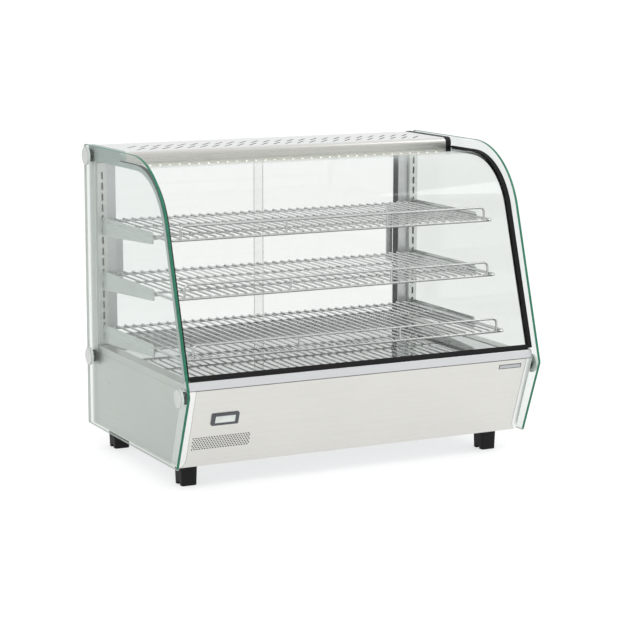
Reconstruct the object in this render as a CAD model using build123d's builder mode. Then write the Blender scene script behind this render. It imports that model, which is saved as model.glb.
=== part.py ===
"""Heated countertop display case with a curved front glass, wire shelves and rear sliding doors.

Millimetres. X runs along the case, Y from front to rear, Z up. The origin is on the counter,
under the middle of the case. Every separate piece is written as its own STEP file.
"""
from build123d import *
import math
import os

# ---------------------------------------------------------------- driving dimensions
# Whole case
CHEEK_OUT = 423.5  # outer face of each side glass, from the middle
CHEEK_IN = 417.5  # inner face of each side glass
BODY_X = 411.8  # outer face of the metal structure between the side glasses
REAR_Y = 284.0
TOP_Z = 686.0
FOOT_H = 52.0  # counter to the underside of the case
SHEET = 1.5  # thickness of the folded sheet metal

# Side glass outline (Y, Z)
CHEEK_ARC = (0.0, 496.0)
CHEEK_ARC_R = TOP_Z - CHEEK_ARC[1]
CHEEK_NOSE = (-284.7, 216.0)
CHEEK_NOSE_R = 12.0
CHEEK_TOE_Y = -221.0
CHEEK_CORNER_R = 5.0
POLISH = 0.8  # ground and polished edge of the side glass

# Caps that clamp the side glasses
CAP_R = 20.5
CAP_H = 5.5
CAP_EDGE = 1.6
CAP_STEM_R = 5.0
CAP_HOLE_R = 6.0
CAP_SPOTS = [(264.0, 661.0), (264.0, 209.5), (-245.0, 208.5)]
WASHER_R = 13.0

# Front glass (Y, Z), measured on its outer face
GLASS_TOP_Z = 661.0
GLASS_ARC = (-8.0, 503.0)
GLASS_ARC_R = GLASS_TOP_Z - GLASS_ARC[1]
GLASS_FOOT = (-254.0, 248.0)
GLASS_T = 5.0
GLASS_X = CHEEK_IN - 4.2  # half the length of the front glass
GASKET_OUT = 3.0
GASKET_IN = 3.0
GASKET_W = 10.0
GASKET_LIP = 5.0
GASKET_GAP = 0.2

# Top housing
HOUSING_Y = 95.0
HOUSING_REAR_Y = 283.0
HOUSING_Z = 651.0
HOUSING_TOP_Z = 683.0
HOUSING_R = 12.0
TRIM_X = 398.0
TRIM_TOP_Z = 684.0
TRIM_WALL = 2.5
SLOT_PITCH = 29.9
SLOT_COUNT = 24
SLOT_LENGTH = 54.0
SLOT_WIDTH = 4.0
SLOT_ANGLE = 48.0
SLOT_ROWS_Y = [142.0, 196.0]
LED_PITCH = 23.0
LED_COUNT = 33
LED_SIZE = (5.0, 3.0)
LED_H = 1.2

# Base
FRONT_TOE = (-205.2, 52.0)  # lower front edge of the slanted face
FRONT_NOSE = (-268.0, 225.0)  # upper front edge of the slanted face
STRIP_TOP = (-262.7, 243.0)  # top of the plain strip over the slanted face
RETURN_W = 39.0  # how far the slanted face is folded back round each side
PANEL_X = 396.6
PANEL_HIGH = 183.4
PANEL_T = 2.0
PANEL_SEAM = 0.8
PANEL_LAND = 6.0  # overlap of the panel on the sheet behind it
FLARE_H = 23.0  # the lower corners of the panel sweep outwards over this height
FLARE_R = 31.5
SIDE_TOP_Z = 220.0
DECK_Z = 236.0
DECK_FRONT_Y = -238.0
DECK_REAR_Y = 242.0
DECK_OPEN_X = 385.0
DECK_OPEN_FRONT = -222.0
DECK_OPEN_REAR = 230.0
DECK_LEDGE = 12.0
DECK_DROP = 3.5
REAR_PANEL_Y = 264.0
SHIELD_Z = 150.0
ELEMENT_R = 4.0

# Vent holes and display on the slanted face
VENT_PITCH = 6.0
VENT_COLUMNS = 22
VENT_ROWS = 7
VENT_R = 1.65
VENT_ROW_PITCH = 4.5
VENT_CENTRE = (-323.5, 56.0)
DISPLAY_CENTRE = (-322.4, 111.7)
DISPLAY_SIZE = (62.0, 28.0)
DISPLAY_PROUD = 3.2
DISPLAY_BODY = (56.0, 22.0)
DISPLAY_BODY_DEPTH = 22.0
DISPLAY_WINDOW = (46.0, 17.0)
DISPLAY_RECESS = 1.0  # how far outside the panel face the window pocket ends
PLATE_CENTRE = (357.5, 168.2)
PLATE_SIZE = (57.0, 11.0)

# Feet
FOOT_X = 368.0
FOOT_FRONT_Y = -143.0
FOOT_REAR_Y = 235.0
FOOT_SIZE = (34.5, 38.5)  # at the counter; the foot widens upwards
FOOT_TAPER = 2.0
FOOT_SLOT = 14.0
FOOT_SLOT_H = 8.0
SCREW_R = 5.0
SCREW_H = 3.9
SCREW_OFFSET = (24.0, 33.0)  # from the middle of a foot

# Corner posts and slotted uprights
POST_X = 386.0
POST_Y = 250.0
POST_TOP_Z = 650.5
UPRIGHT_Y = 243.0
UPRIGHT_T = 2.0
UPRIGHT_W = 21.4
UPRIGHT_LOW = 237.0
UPRIGHT_HIGH = 646.0
HOOK_PITCH = 24.2
HOOK_SLOT_W = 4.5
HOOK_SLOT_H = 16.0

# Shelf brackets and wire shelves
BRACKET_X = 397.0
BRACKET_T = 3.0
BRACKET_RISE = 12.0  # how far a bracket stands above the underside of its shelf
BRACKET_REAR_DROP = 28.0
BRACKET_FRONT_DROP = 13.0
BRACKET_FRONT_Y = -48.0
BRACKET_HEEL = 40.0  # level part of the lower edge, at the rear
BRACKET_NECK = 8.0
BRACKET_BARB = 6.0
HOOK_LOW_Z = 247.0  # lowest slot of the uprights
HOOK_T = 2.6
HOOK_GAP = 0.3
STUD_R = 3.0
STUD_X = 380.0
STUD_INSET = (16.0, 45.0)  # from the front and from the rear of a bracket
SHELF_LEVELS = {
    "upper": {"z": 513.0, "front": -125.0},
    "middle": {"z": 392.0, "front": -144.0},
    "lower": {"z": 271.0, "front": -185.0},
}
SHELF_X = 391.0
SHELF_REAR_Y = 234.0
FRAME_WIRE_R = 3.0
GRID_WIRE_R = 2.0
GRID_COUNT = 37
GRID_PITCH = 20.58
CROSS_BAR_R = 2.4
CROSS_BAR_Y = [-40.0, 110.0]
SHELF_CORNER_R = 12.0
FENCE_H = 29.5
FENCE_X = 368.0
FENCE_R = 10.0
FENCE_WIRE_R = 2.5
WELD_BITE = 0.6  # how far crossing wires sink into each other at a weld

# Rear doors and their tracks
TRACK_FRONT_Y = 252.0
TRACK_REAR_Y = 280.0
TRACK_LOW_Z = 238.0
TRACK_TOP_Z = 651.0
TRACK_DEPTH = 14.0
DOOR_T = 5.0
DOOR_Y = {"left": 259.25, "right": 272.5}
DOOR_LOW_Z = 243.0
DOOR_HIGH_Z = 646.0
DOOR_OUTER_X = 381.0
DOOR_MEET_X = {"left": 6.0, "right": 11.0}
PULL_X = 350.0
PULL_SIZE = (16.0, 140.0)
PULL_T = 3.5
PULL_GROOVE_R = 2.2
SHOE_X = [60.0, 320.0]
SHOE_SIZE = (30.0, 8.4, 9.7)

# Controls on the rear of the base
KNOB_X = 250.0
CONTROL_Z = 105.0
KNOB_R = 18.0
SHAFT_R = 3.0
SWITCHES = {"power": 150.0, "light": 192.0}
GLAND_X = 325.0
GLAND_R = 8.0
GLAND_BORE_R = 4.5

SIDES = {"right": 1, "left": -1}

os.makedirs("parts", exist_ok=True)


# ---------------------------------------------------------------- helpers
def write(piece, name):
    """Label a finished piece and write it to its own file."""
    piece.part.label = name
    export_step(piece.part, f"parts/{name}.step")


def side_plane(sign, inner, outer):
    """Plane at the low-X face of a slab that spans inner..outer on one side of the case."""
    return Plane.YZ.offset(inner if sign > 0 else -outer)


def tangent_angle(centre, radius, point):
    """Angle at which a line from a point below and in front touches the circle."""
    dy = point[0] - centre[0]
    dz = point[1] - centre[1]
    distance = math.hypot(dy, dz)
    return math.degrees(math.atan2(dz, dy)) % 360 - math.degrees(math.acos(radius / distance))


def on_circle(centre, radius, angle):
    """Point on a circle at an angle in degrees."""
    turn = math.radians(angle)
    return (centre[0] + radius * math.cos(turn), centre[1] + radius * math.sin(turn))


CHEEK_ANGLE = tangent_angle(CHEEK_ARC, CHEEK_ARC_R, CHEEK_NOSE)
GLASS_ANGLE = tangent_angle(GLASS_ARC, GLASS_ARC_R, GLASS_FOOT)
GLASS_OUT = (math.cos(math.radians(GLASS_ANGLE)), math.sin(math.radians(GLASS_ANGLE)))
GLASS_UP = (GLASS_OUT[1], -GLASS_OUT[0])


def on_glass(out, up):
    """Point near the foot of the front glass: a distance out of its face and up its slope."""
    return (
        GLASS_FOOT[0] + out * GLASS_OUT[0] + up * GLASS_UP[0],
        GLASS_FOOT[1] + out * GLASS_OUT[1] + up * GLASS_UP[1],
    )


def glass_band(top_y, outer, inner, foot):
    """Face between two curves parallel to the front glass, from its top edge to its foot."""
    with BuildSketch(mode=Mode.PRIVATE) as band:
        with BuildLine():
            top_out = (top_y, GLASS_TOP_Z + outer)
            top_in = (top_y, GLASS_TOP_Z + inner)
            Line(top_out, (GLASS_ARC[0], GLASS_TOP_Z + outer))
            CenterArc(GLASS_ARC, GLASS_ARC_R + outer, 90, GLASS_ANGLE - 90)
            Line(on_circle(GLASS_ARC, GLASS_ARC_R + outer, GLASS_ANGLE), on_glass(outer, foot))
            Line(on_glass(outer, foot), on_glass(inner, foot))
            Line(on_glass(inner, foot), on_circle(GLASS_ARC, GLASS_ARC_R + inner, GLASS_ANGLE))
            CenterArc(GLASS_ARC, GLASS_ARC_R + inner, 90, GLASS_ANGLE - 90)
            Line((GLASS_ARC[0], GLASS_TOP_Z + inner), top_in)
            Line(top_in, top_out)
        make_face()
    return band.sketch


FRONT_SLOPE = math.hypot(FRONT_NOSE[0] - FRONT_TOE[0], FRONT_NOSE[1] - FRONT_TOE[1])
FRONT_UP = (
    (FRONT_NOSE[0] - FRONT_TOE[0]) / FRONT_SLOPE,
    (FRONT_NOSE[1] - FRONT_TOE[1]) / FRONT_SLOPE,
)


def front_plane(depth=0.0):
    """Plane on the slanted face, facing out, with its origin at the middle of the lower edge."""
    face = Plane(
        origin=(0, FRONT_TOE[0], FRONT_TOE[1]),
        x_dir=(1, 0, 0),
        z_dir=(0, -FRONT_UP[1], FRONT_UP[0]),
    )
    return face.offset(-depth)


# ---------------------------------------------------------------- base
def base_pan():
    """Bottom sheet with a folded rim; the feet are screwed under it."""
    front_y = FRONT_TOE[0] + 8
    depth = REAR_PANEL_Y - 3 - front_y
    middle = front_y + depth / 2
    width = 2 * BODY_X - 5
    rim_inset = 12.0
    rim_h = 14.0
    notch = 2 * (BODY_X - POST_X + 3)
    with BuildPart() as pan:
        with BuildSketch(Plane.XY.offset(FOOT_H)):
            with Locations((0, middle)):
                Rectangle(width, depth)
            for sign in SIDES.values():
                with Locations((sign * BODY_X, POST_Y + 10)):
                    Rectangle(notch, 36, mode=Mode.SUBTRACT)
        extrude(amount=SHEET)
        with BuildSketch(Plane.XY.offset(FOOT_H + SHEET)):
            with Locations((0, middle - rim_inset)):
                rim_depth = depth - 2 * rim_inset
                Rectangle(width, rim_depth)
                Rectangle(width - 2 * SHEET, rim_depth - 2 * SHEET, mode=Mode.SUBTRACT)
        extrude(amount=rim_h)
    write(pan, "base_pan")


def base_sides():
    """Side sheet of the base with an inward fold along its top."""
    fold_w = 14.0
    seam = 0.3
    front_low = FRONT_TOE[0] + RETURN_W + 0.5
    front_high = front_low + (SIDE_TOP_Z - FOOT_H) * FRONT_UP[0] / FRONT_UP[1]
    for side, sign in SIDES.items():
        with BuildPart() as panel:
            with BuildSketch(side_plane(sign, BODY_X - SHEET, BODY_X)):
                with BuildLine():
                    Polyline(
                        (front_low, FOOT_H),
                        (POST_Y - seam, FOOT_H),
                        (POST_Y - seam, SIDE_TOP_Z),
                        (front_high, SIDE_TOP_Z),
                        close=True,
                    )
                make_face()
            extrude(amount=SHEET)
            with BuildSketch(Plane.XY.offset(SIDE_TOP_Z - SHEET)):
                with Locations((sign * (BODY_X - fold_w / 2), (front_high + POST_Y) / 2)):
                    Rectangle(fold_w, POST_Y - front_high - 1)
            extrude(amount=SHEET)
        write(panel, f"base_side_{side}")


def base_rear_panel():
    """Recessed rear sheet with louvre slots, control holes and the cable hole."""
    low = FOOT_H + SHEET
    high = DECK_Z - SHEET - 0.2
    shaft_hole_r = 5.0
    switch_hole = (25.0, 33.0)
    louvre = (46.0, 5.0)
    with BuildPart() as panel:
        with BuildSketch(Plane.XZ.offset(-REAR_PANEL_Y)):
            with Locations((0, (low + high) / 2)):
                Rectangle(2 * POST_X - 1, high - low)
            with Locations((KNOB_X, CONTROL_Z)):
                Circle(shaft_hole_r, mode=Mode.SUBTRACT)
            with Locations((GLAND_X, CONTROL_Z)):
                Circle(GLAND_R + 0.2, mode=Mode.SUBTRACT)
            with Locations(*[(x, CONTROL_Z) for x in SWITCHES.values()]):
                Rectangle(*switch_hole, mode=Mode.SUBTRACT)
            with Locations((-190, 150)):
                with GridLocations(60, 14, 5, 6):
                    SlotOverall(*louvre, mode=Mode.SUBTRACT)
        extrude(amount=SHEET)
    write(panel, "base_rear_panel")


def front_frame():
    """Slanted surround: raised border, land behind the panel and a fold back at each side."""
    land = PANEL_T + 0.2
    with BuildPart() as frame:
        with BuildSketch(front_plane(land + SHEET)):
            with Locations((0, FRONT_SLOPE / 2)):
                Rectangle(2 * BODY_X, FRONT_SLOPE)
            with Locations((0, PANEL_HIGH / 2)):
                window = (2 * (PANEL_X - PANEL_LAND), PANEL_HIGH - 2 * PANEL_LAND)
                RectangleRounded(*window, 6, mode=Mode.SUBTRACT)
        extrude(amount=SHEET)
        with BuildSketch(front_plane(land)):
            with Locations((0, FRONT_SLOPE / 2)):
                Rectangle(2 * BODY_X, FRONT_SLOPE)
            add(panel_outline(PANEL_SEAM), mode=Mode.SUBTRACT)
        extrude(amount=land)
        for sign in SIDES.values():
            with BuildSketch(side_plane(sign, BODY_X - SHEET, BODY_X)):
                with BuildLine():
                    Polyline(
                        (FRONT_TOE[0] + 1, FRONT_TOE[1] + 0.4),
                        (FRONT_TOE[0] + RETURN_W, FRONT_TOE[1] + 0.4),
                        (FRONT_NOSE[0] + RETURN_W, FRONT_NOSE[1]),
                        (FRONT_NOSE[0] + 1, FRONT_NOSE[1]),
                        close=True,
                    )
                make_face()
            extrude(amount=SHEET)
        split(bisect_by=Plane.XY.offset(FOOT_H), keep=Keep.TOP)
        split(bisect_by=Plane.XY.offset(FRONT_NOSE[1] + 0.5), keep=Keep.BOTTOM)
    write(frame, "front_frame")


def panel_outline(gap):
    """Outline of the front panel, with outward-swept lower corners, grown by a gap on every side."""
    edge = PANEL_X + gap
    radius = FLARE_R - gap
    sweep_angle = math.degrees(math.asin((FLARE_H + gap) / radius))
    right = (PANEL_X + FLARE_R, FLARE_H)
    left = (-PANEL_X - FLARE_R, FLARE_H)
    with BuildSketch(mode=Mode.PRIVATE) as outline:
        with BuildLine():
            Polyline((-edge, FLARE_H), (-edge, PANEL_HIGH + gap), (edge, PANEL_HIGH + gap), (edge, FLARE_H))
            CenterArc(right, radius, 180, sweep_angle)
            Line(on_circle(right, radius, 180 + sweep_angle), on_circle(left, radius, -sweep_angle))
            CenterArc(left, radius, -sweep_angle, sweep_angle)
        make_face()
    return outline.sketch


def front_panel():
    """Removable slanted panel with the vent holes and the display cut-out."""
    half = VENT_PITCH / 2
    with BuildPart() as panel:
        with BuildSketch(front_plane(PANEL_T)):
            add(panel_outline(0))
            with Locations(DISPLAY_CENTRE):
                Rectangle(DISPLAY_BODY[0] + 1, DISPLAY_BODY[1] + 1, mode=Mode.SUBTRACT)
            with Locations(VENT_CENTRE):
                for row in range(VENT_ROWS):
                    shift = half / 2 if row % 2 else -half / 2
                    height = (row - (VENT_ROWS - 1) / 2) * VENT_ROW_PITCH
                    with Locations((shift, height)):
                        with GridLocations(VENT_PITCH, 1, VENT_COLUMNS, 1):
                            Circle(VENT_R, mode=Mode.SUBTRACT)
        extrude(amount=PANEL_T)
    write(panel, "front_panel")


def front_top_strip():
    """Plain strip over the slanted panel, folded back under the foot of the front glass."""
    nose = (FRONT_NOSE[0], FRONT_NOSE[1] + 1.2)
    lip = 14.0
    back = DECK_FRONT_Y - 0.3
    with BuildPart() as strip:
        with BuildSketch(Plane.YZ.offset(-BODY_X)):
            with BuildLine():
                Polyline(
                    nose,
                    STRIP_TOP,
                    (back, STRIP_TOP[1]),
                    (back, FRONT_NOSE[1]),
                    (back - SHEET, FRONT_NOSE[1]),
                    (back - SHEET, STRIP_TOP[1] - SHEET),
                    (STRIP_TOP[0] + SHEET, STRIP_TOP[1] - SHEET),
                    (nose[0] + SHEET, nose[1] + SHEET),
                    (nose[0] + lip, nose[1] + SHEET),
                    (nose[0] + lip, nose[1]),
                    close=True,
                )
            make_face()
        extrude(amount=2 * BODY_X)
        fold = strip.edges().filter_by(Axis.X).sort_by(Axis.Z)[-4:].sort_by(Axis.Y)[0]
        fillet(fold, 1.2)
        for sign in SIDES.values():
            with BuildSketch(side_plane(sign, BODY_X - SHEET, BODY_X)):
                with BuildLine():
                    Polyline(
                        (nose[0] + 1, nose[1]),
                        (STRIP_TOP[0] + 1, STRIP_TOP[1] - 1),
                        (DECK_FRONT_Y - 1, STRIP_TOP[1] - 1),
                        (DECK_FRONT_Y - 1, nose[1]),
                        close=True,
                    )
                make_face()
            extrude(amount=SHEET)
    write(strip, "front_top_strip")


def deck_frame():
    """Ring round the heated deck, with side skirts and a ledge that the deck plate rests on."""
    rear = REAR_PANEL_Y + 10
    with BuildPart() as ring:
        with BuildSketch(Plane.XY.offset(DECK_Z - SHEET)):
            deck_area(BODY_X, DECK_FRONT_Y, DECK_REAR_Y)
            deck_area(POST_X - 0.5, DECK_REAR_Y - 1, rear)
            deck_area(DECK_OPEN_X, DECK_OPEN_FRONT, DECK_OPEN_REAR, Mode.SUBTRACT)
        extrude(amount=SHEET)
        with BuildSketch(Plane.XY.offset(DECK_Z - DECK_DROP - SHEET)):
            deck_area(DECK_OPEN_X + SHEET, DECK_OPEN_FRONT - SHEET, DECK_OPEN_REAR + SHEET)
            deck_area(
                DECK_OPEN_X - DECK_LEDGE,
                DECK_OPEN_FRONT + DECK_LEDGE,
                DECK_OPEN_REAR - DECK_LEDGE,
                Mode.SUBTRACT,
            )
        extrude(amount=SHEET)
        with BuildSketch(Plane.XY.offset(DECK_Z - DECK_DROP - SHEET)):
            deck_area(DECK_OPEN_X + SHEET, DECK_OPEN_FRONT - SHEET, DECK_OPEN_REAR + SHEET)
            deck_area(DECK_OPEN_X, DECK_OPEN_FRONT, DECK_OPEN_REAR, Mode.SUBTRACT)
        extrude(amount=DECK_DROP + SHEET)
        fold_back_y = FRONT_NOSE[0] + RETURN_W + 0.7
        fold_back_z = FRONT_NOSE[1] + 1.0
        fold_back_low_y = fold_back_y - (fold_back_z - SIDE_TOP_Z) * FRONT_UP[0] / FRONT_UP[1]
        for sign in SIDES.values():
            with BuildSketch(side_plane(sign, BODY_X - SHEET, BODY_X)):
                with BuildLine():
                    Polyline(
                        (DECK_FRONT_Y, DECK_Z),
                        (DECK_FRONT_Y, fold_back_z),
                        (fold_back_y, fold_back_z),
                        (fold_back_low_y, SIDE_TOP_Z + 0.4),
                        (DECK_REAR_Y, SIDE_TOP_Z + 0.4),
                        (DECK_REAR_Y, DECK_Z),
                        close=True,
                    )
                make_face()
            extrude(amount=SHEET)
    write(ring, "deck_frame")


def deck_area(half_x, front, rear, mode=Mode.ADD):
    """Rectangle in plan, symmetric about the middle of the case."""
    with Locations((0, (front + rear) / 2)):
        Rectangle(2 * half_x, rear - front, mode=mode)


def deck_plate():
    """Polished lift-out plate of the heated deck, with rounded corners and edges."""
    gap = 1.0
    thickness = 2.0
    corner_r = 6.0
    edge_r = 0.8
    with BuildPart() as plate:
        with BuildSketch(Plane.XY.offset(DECK_Z - DECK_DROP)):
            deck_area(DECK_OPEN_X - gap, DECK_OPEN_FRONT + gap, DECK_OPEN_REAR - gap)
        extrude(amount=thickness)
        fillet(plate.edges().filter_by(Axis.Z), corner_r)
        fillet(plate.faces().sort_by(Axis.Z)[-1].edges(), edge_r)
    write(plate, "deck_plate")


def heat_shield():
    """Shelf inside the base that carries the heating elements and shields the controls."""
    flange_h = 14.0
    flange_length = 420.0
    front, rear = -185.0, 240.0
    half = BODY_X - SHEET - 0.2
    with BuildPart() as shield:
        with BuildSketch(Plane.XY.offset(SHIELD_Z)):
            deck_area(half, front, rear)
        extrude(amount=SHEET)
        for sign in SIDES.values():
            with BuildSketch(Plane.XY.offset(SHIELD_Z - flange_h)):
                with Locations((sign * (half - SHEET / 2), (front + rear) / 2)):
                    Rectangle(SHEET, flange_length)
            extrude(amount=flange_h)
    write(shield, "heat_shield")


def heating_elements():
    """Two hairpin tubes that lie on the heat shield."""
    z = SHIELD_Z + SHEET + ELEMENT_R + 0.2
    near, far = 40, 350
    front, rear = -150, 225
    with BuildPart() as elements:
        for sign in SIDES.values():
            with BuildLine() as path:
                FilletPolyline(
                    (sign * near, rear, z),
                    (sign * near, front, z),
                    (sign * far, front, z),
                    (sign * far, rear, z),
                    radius=60,
                )
            with BuildSketch(Plane(origin=path.line @ 0, z_dir=path.line % 0)):
                Circle(ELEMENT_R)
            sweep(path=path.line)
    write(elements, "heating_elements")


def feet():
    """Four moulded feet that widen upwards, each with an arched notch along X."""
    for end, y in {"front": FOOT_FRONT_Y, "rear": FOOT_REAR_Y}.items():
        for side, sign in SIDES.items():
            with BuildPart() as foot:
                with BuildSketch():
                    with Locations((sign * FOOT_X, y)):
                        RectangleRounded(FOOT_SIZE[0], FOOT_SIZE[1], 5)
                extrude(amount=FOOT_H - 0.05, taper=-FOOT_TAPER)
                with BuildSketch(Plane.YZ.offset(sign * FOOT_X)):
                    with Locations((y, 0)):
                        Rectangle(FOOT_SLOT, 2 * FOOT_SLOT_H - FOOT_SLOT)
                    with Locations((y, FOOT_SLOT_H - FOOT_SLOT / 2)):
                        Circle(FOOT_SLOT / 2)
                extrude(amount=2 * FOOT_SIZE[0], both=True, mode=Mode.SUBTRACT)
                chamfer(foot.faces().sort_by(Axis.Z)[:2].edges().filter_by(GeomType.CIRCLE), 0.8)
            write(foot, f"foot_{end}_{side}")


def foot_screws():
    """Pan-head screws beside the rear feet, under the corner posts."""
    with BuildPart() as screws:
        for sign in SIDES.values():
            for y in (FOOT_REAR_Y + SCREW_OFFSET[1], FOOT_FRONT_Y - SCREW_OFFSET[1]):
                with BuildSketch(Plane.XY.offset(FOOT_H - SCREW_H - 0.1)):
                    with Locations((sign * (FOOT_X + SCREW_OFFSET[0]), y)):
                        Circle(SCREW_R)
                extrude(amount=SCREW_H)
        top = screws.faces().filter_by(Axis.Z).group_by(Axis.Z)[0]
        chamfer(top.edges(), 1.2)
    write(screws, "foot_screws")


# ---------------------------------------------------------------- glass
def side_glasses():
    """Side glass with a large front curve, ground edges and three holes for the caps."""
    for side, sign in SIDES.items():
        with BuildPart() as glass:
            with BuildSketch(side_plane(sign, CHEEK_IN, CHEEK_OUT)) as outline:
                with BuildLine():
                    Line((REAR_Y, FOOT_H), (REAR_Y, TOP_Z))
                    Line((REAR_Y, TOP_Z), (CHEEK_ARC[0], TOP_Z))
                    CenterArc(CHEEK_ARC, CHEEK_ARC_R, 90, CHEEK_ANGLE - 90)
                    Line(on_circle(CHEEK_ARC, CHEEK_ARC_R, CHEEK_ANGLE), CHEEK_NOSE)
                    Line(CHEEK_NOSE, (CHEEK_TOE_Y, FOOT_H))
                    Line((CHEEK_TOE_Y, FOOT_H), (REAR_Y, FOOT_H))
                make_face()
                fillet(outline.vertices().sort_by(Axis.X)[0], CHEEK_NOSE_R)
                fillet(outline.vertices().group_by(Axis.X)[-1], CHEEK_CORNER_R)
                with Locations(*CAP_SPOTS):
                    Circle(CAP_HOLE_R, mode=Mode.SUBTRACT)
            extrude(amount=CHEEK_OUT - CHEEK_IN)
            rims = [face.outer_wire().edges() for face in glass.faces().filter_by(Axis.X)]
            chamfer(rims[0] + rims[1], POLISH)
        write(glass, f"side_glass_{side}")


def glass_caps():
    """Round caps: a disc outside each side glass and a stem through its hole."""
    for side, sign in SIDES.items():
        with BuildPart() as caps:
            with BuildSketch(side_plane(sign, CHEEK_OUT, CHEEK_OUT + CAP_H)):
                with Locations(*CAP_SPOTS):
                    Circle(CAP_R)
            extrude(amount=CAP_H)
            outer = caps.faces().filter_by(Axis.X).group_by(Axis.X)[-1 if sign > 0 else 0]
            fillet(outer.edges(), CAP_EDGE)
            with BuildSketch(side_plane(sign, BODY_X, CHEEK_OUT)):
                with Locations(*CAP_SPOTS):
                    Circle(CAP_STEM_R)
            extrude(amount=CHEEK_OUT - BODY_X)
        write(caps, f"glass_caps_{side}")


def cap_washers():
    """Rubber washers between the side glasses and the metal structure."""
    with BuildPart() as washers:
        for sign in SIDES.values():
            with BuildSketch(side_plane(sign, BODY_X, CHEEK_IN)):
                with Locations(*CAP_SPOTS):
                    Circle(WASHER_R)
                    Circle(CAP_STEM_R + 0.5, mode=Mode.SUBTRACT)
            extrude(amount=CHEEK_IN - BODY_X)
    write(washers, "cap_washers")


def front_glass():
    """Bent front glass: level under the housing, one large curve, then a steep flat."""
    with BuildPart() as glass:
        with BuildSketch(Plane.YZ.offset(-GLASS_X)):
            add(glass_band(HOUSING_Y - 0.2, 0, -GLASS_T, 0))
        extrude(amount=2 * GLASS_X)
        chamfer(glass.edges().filter_by(Axis.X).group_by(Axis.Z)[0], 0.6)
    write(glass, "front_glass")


def glass_gaskets():
    """Black rubber channels round both ends and the foot of the front glass."""
    foot = -GASKET_GAP - 2.3
    for side, sign in SIDES.items():
        with BuildPart() as gasket:
            with BuildSketch(side_plane(sign, CHEEK_IN - GASKET_W - 0.2, CHEEK_IN - 0.2)):
                add(glass_band(HOUSING_Y - 0.2, GASKET_OUT, -GLASS_T - GASKET_IN, foot))
            extrude(amount=GASKET_W)
            groove = GLASS_X + GASKET_GAP
            with BuildSketch(side_plane(sign, CHEEK_IN - GASKET_W - 1, groove)):
                add(glass_band(HOUSING_Y + 1, GASKET_GAP, -GLASS_T - GASKET_GAP, -GASKET_GAP))
            extrude(amount=groove - (CHEEK_IN - GASKET_W - 1), mode=Mode.SUBTRACT)
        write(gasket, f"glass_gasket_{side}")
    half = CHEEK_IN - GASKET_W - 0.5
    inner = -GLASS_T - GASKET_IN
    base = on_glass(inner, foot)[1]
    lip_foot = (base - on_glass(GASKET_OUT, 0)[1]) / GLASS_UP[1]
    with BuildPart() as gasket:
        with BuildSketch(Plane.YZ.offset(-half)):
            with BuildLine():
                Polyline(
                    on_glass(GASKET_OUT, GASKET_LIP),
                    on_glass(GASKET_OUT, lip_foot),
                    on_glass(inner, foot),
                    on_glass(inner, GASKET_LIP),
                    on_glass(-GLASS_T - GASKET_GAP, GASKET_LIP),
                    on_glass(-GLASS_T - GASKET_GAP, -GASKET_GAP),
                    on_glass(GASKET_GAP, -GASKET_GAP),
                    on_glass(GASKET_GAP, GASKET_LIP),
                    close=True,
                )
            make_face()
        extrude(amount=2 * half)
    write(gasket, "glass_gasket_bottom")


# ---------------------------------------------------------------- top housing
def housing_outline(inset, low, rear=HOUSING_REAR_Y):
    """Side view of the top housing, shrunk inwards at the front, the top and the rear."""
    front = HOUSING_Y + inset
    top = HOUSING_TOP_Z - inset
    with BuildSketch(mode=Mode.PRIVATE) as outline:
        with BuildLine():
            Polyline((front, low), (front, top), (rear - inset, top), (rear - inset, low), close=True)
        make_face()
        corner = outline.vertices().group_by(Axis.X)[0].sort_by(Axis.Y)[-1]
        fillet(corner, max(HOUSING_R - inset, 0.5))
    return outline.sketch


def top_cover():
    """Folded cover of the top housing with two rows of slanted cooling slots."""
    with BuildPart() as cover:
        with BuildSketch(Plane.YZ.offset(-TRIM_X)):
            add(housing_outline(0, HOUSING_Z))
            add(housing_outline(SHEET, HOUSING_Z - 1), mode=Mode.SUBTRACT)
        extrude(amount=2 * TRIM_X)
        with BuildSketch(Plane.XY.offset(HOUSING_TOP_Z)):
            for y in SLOT_ROWS_Y:
                with Locations((0, y)):
                    with GridLocations(SLOT_PITCH, 1, SLOT_COUNT, 1):
                        SlotOverall(SLOT_LENGTH, SLOT_WIDTH, rotation=SLOT_ANGLE)
        extrude(amount=-2 * SHEET, mode=Mode.SUBTRACT)
    write(cover, "top_cover")


def lamp_tray():
    """Bottom sheet of the top housing, with folded edges at the front and the rear."""
    front = HOUSING_Y + SHEET + 0.3
    rear = HOUSING_REAR_Y - SHEET - 0.3
    fold = HOUSING_Z + 12
    with BuildPart() as tray:
        with BuildSketch(Plane.YZ.offset(-TRIM_X + 0.5)):
            with BuildLine():
                Polyline(
                    (front, fold),
                    (front, HOUSING_Z),
                    (rear, HOUSING_Z),
                    (rear, fold),
                    (rear - SHEET, fold),
                    (rear - SHEET, HOUSING_Z + SHEET),
                    (front + SHEET, HOUSING_Z + SHEET),
                    (front + SHEET, fold),
                    close=True,
                )
            make_face()
        extrude(amount=2 * TRIM_X - 1)
    write(tray, "lamp_tray")


def led_strip():
    """Lamp strip under the top edge of the front glass, with a row of small light chips."""
    low, high = HOUSING_Z - 3, GLASS_TOP_Z - GLASS_T - 0.6
    front, rear = HOUSING_Y - 5, HOUSING_Y
    half = TRIM_X - 8
    with BuildPart() as strip:
        with BuildSketch(Plane.YZ.offset(-half)):
            with BuildLine():
                Polyline((front, low), (front, high), (rear, high), (rear, low), close=True)
            make_face()
        extrude(amount=2 * half)
        with BuildSketch(Plane.XZ.offset(-front)):
            with Locations((0, (low + high) / 2)):
                with GridLocations(LED_PITCH, 1, LED_COUNT, 1):
                    Rectangle(*LED_SIZE)
        extrude(amount=LED_H)
    write(strip, "led_strip")


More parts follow.
